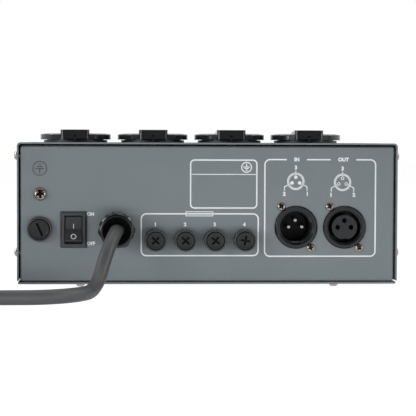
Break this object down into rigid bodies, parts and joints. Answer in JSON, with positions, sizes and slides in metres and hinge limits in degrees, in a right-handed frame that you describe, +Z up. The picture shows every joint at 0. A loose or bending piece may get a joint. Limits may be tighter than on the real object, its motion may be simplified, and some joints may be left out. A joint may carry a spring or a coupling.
{
  "type": "dimmer pack",
  "caption": "Stage dimmer pack: folded steel case with mains outlets on its lid, and fuses, a rocker switch, a corded gland and round signal connectors on its rear panel.",
  "frame": {"origin": "centre of the bounding box's base, on the surface that the foot screws stand on, measured without the mains cord, its coil and its plug", "axes": "+Z up; -Y out of the rear panel with the fuses and connectors; +X to the right when the rear panel is faced"},
  "size_m": [0.3883, 0.2789, 0.0995],
  "materials": {
    "case_paint": "satin powder coat, mid grey",
    "black_plastic": "fine-grained moulded plastic",
    "gloss_black": "glossy nylon",
    "cord_rubber": "matte, slightly waxy jacket",
    "nickel": "nickel-plated, bright",
    "contact_metal": "plated sprung strip",
    "fuse_ceramic": "ceramic tube with plated end caps",
    "display_red": "smoked red filter",
    "board_green": "solder-masked laminate with parts",
    "sink_aluminium": "extruded, plain"
  },
  "bodies": {
    "case": {"top_cover": "case_paint", "bottom_plate": "case_paint", "rear_panel": "case_paint", "front_panel": "case_paint", "side_screw_1": "nickel", "side_screw_2": "nickel", "side_screw_3": "nickel", "side_screw_4": "nickel", "side_screw_5": "nickel", "side_screw_6": "nickel", "side_screw_7": "nickel", "side_screw_8": "nickel", "earth_screw": "nickel", "outlet_1": "black_plastic", "outlet_2": "black_plastic", "outlet_3": "black_plastic", "outlet_4": "black_plastic", "switch_housing": "black_plastic", "gland_body": "black_plastic", "gland_lock_nut": "black_plastic", "fuse_holder_main": "black_plastic", "fuse_holder_1": "black_plastic", "fuse_holder_2": "black_plastic", "fuse_holder_3": "black_plastic", "fuse_holder_4": "black_plastic", "signal_input_shell": "black_plastic", "signal_input_pins": "black_plastic", "signal_output_shell": "black_plastic", "signal_output_insert": "black_plastic", "mains_plug": "black_plastic", "gland_dome_nut": "gloss_black", "outlet_earth_clip_1": "contact_metal", "outlet_earth_clip_2": "contact_metal", "outlet_earth_clip_3": "contact_metal", "outlet_earth_clip_4": "contact_metal", "mains_cord": "cord_rubber", "mains_cord_coil": "cord_rubber", "display_window": "display_red", "power_board": "board_green", "control_board": "board_green", "heat_sink": "sink_aluminium"},
    "fuse_link_main": {"fuse_link_main": "fuse_ceramic"},
    "fuse_cap_main": {"fuse_cap_main": "black_plastic"},
    "fuse_link_1": {"fuse_link_1": "fuse_ceramic"},
    "fuse_cap_1": {"fuse_cap_1": "black_plastic"},
    "fuse_link_2": {"fuse_link_2": "fuse_ceramic"},
    "fuse_cap_2": {"fuse_cap_2": "black_plastic"},
    "fuse_link_3": {"fuse_link_3": "fuse_ceramic"},
    "fuse_cap_3": {"fuse_cap_3": "black_plastic"},
    "fuse_link_4": {"fuse_link_4": "fuse_ceramic"},
    "fuse_cap_4": {"fuse_cap_4": "black_plastic"},
    "switch_rocker": {"switch_rocker": "black_plastic"},
    "button_1": {"button_1": "black_plastic"},
    "button_2": {"button_2": "black_plastic"},
    "button_3": {"button_3": "black_plastic"},
    "button_4": {"button_4": "black_plastic"},
    "outlet_flap_1": {"outlet_flap_1": "black_plastic"},
    "outlet_flap_2": {"outlet_flap_2": "black_plastic"},
    "outlet_flap_3": {"outlet_flap_3": "black_plastic"},
    "outlet_flap_4": {"outlet_flap_4": "black_plastic"}
  },
  "joints": [
    {"name": "fuse_main_withdraw", "type": "slide", "parent": "case", "child": "fuse_link_main", "axis": [0, -1, 0], "range_m": [0, 0.025]},
    {"name": "fuse_main_turn", "type": "hinge", "parent": "fuse_link_main", "child": "fuse_cap_main", "pos_m": [-0.10579, -0.07625, 0.0368], "axis": [0, -1, 0], "range_deg": [0, 90]},
    {"name": "fuse_1_withdraw", "type": "slide", "parent": "case", "child": "fuse_link_1", "axis": [0, -1, 0], "range_m": [0, 0.025]},
    {"name": "fuse_1_turn", "type": "hinge", "parent": "fuse_link_1", "child": "fuse_cap_1", "pos_m": [-0.0333, -0.08325, 0.0301], "axis": [0, -1, 0], "range_deg": [0, 90]},
    {"name": "fuse_2_withdraw", "type": "slide", "parent": "case", "child": "fuse_link_2", "axis": [0, -1, 0], "range_m": [0, 0.025]},
    {"name": "fuse_2_turn", "type": "hinge", "parent": "fuse_link_2", "child": "fuse_cap_2", "pos_m": [-0.0146, -0.08325, 0.0301], "axis": [0, -1, 0], "range_deg": [0, 90]},
    {"name": "fuse_3_withdraw", "type": "slide", "parent": "case", "child": "fuse_link_3", "axis": [0, -1, 0], "range_m": [0, 0.025]},
    {"name": "fuse_3_turn", "type": "hinge", "parent": "fuse_link_3", "child": "fuse_cap_3", "pos_m": [0.00409, -0.08325, 0.0301], "axis": [0, -1, 0], "range_deg": [0, 90]},
    {"name": "fuse_4_withdraw", "type": "slide", "parent": "case", "child": "fuse_link_4", "axis": [0, -1, 0], "range_m": [0, 0.025]},
    {"name": "fuse_4_turn", "type": "hinge", "parent": "fuse_link_4", "child": "fuse_cap_4", "pos_m": [0.02279, -0.08325, 0.0301], "axis": [0, -1, 0], "range_deg": [0, 90]},
    {"name": "rocker", "type": "hinge", "parent": "case", "child": "switch_rocker", "pos_m": [-0.0846, -0.07125, 0.0364], "axis": [1, 0, 0], "range_deg": [0, 24]},
    {"name": "button_1_press", "type": "slide", "parent": "case", "child": "button_1", "axis": [0, -1, 0], "range_m": [0, 0.001], "stiffness_N_per_m": 300},
    {"name": "button_2_press", "type": "slide", "parent": "case", "child": "button_2", "axis": [0, -1, 0], "range_m": [0, 0.001], "stiffness_N_per_m": 300},
    {"name": "button_3_press", "type": "slide", "parent": "case", "child": "button_3", "axis": [0, -1, 0], "range_m": [0, 0.001], "stiffness_N_per_m": 300},
    {"name": "button_4_press", "type": "slide", "parent": "case", "child": "button_4", "axis": [0, -1, 0], "range_m": [0, 0.001], "stiffness_N_per_m": 300},
    {"name": "outlet_flap_1_open", "type": "hinge", "parent": "case", "child": "outlet_flap_1", "pos_m": [-0.0851, -0.02525, 0.0945], "axis": [1, 0, 0], "range_deg": [0, 90]},
    {"name": "outlet_flap_2_open", "type": "hinge", "parent": "case", "child": "outlet_flap_2", "pos_m": [-0.0337, -0.02525, 0.0945], "axis": [1, 0, 0], "range_deg": [0, 90]},
    {"name": "outlet_flap_3_open", "type": "hinge", "parent": "case", "child": "outlet_flap_3", "pos_m": [0.0177, -0.02525, 0.0945], "axis": [1, 0, 0], "range_deg": [0, 90]},
    {"name": "outlet_flap_4_open", "type": "hinge", "parent": "case", "child": "outlet_flap_4", "pos_m": [0.0691, -0.02525, 0.0945], "axis": [1, 0, 0], "range_deg": [0, 90]}
  ]
}
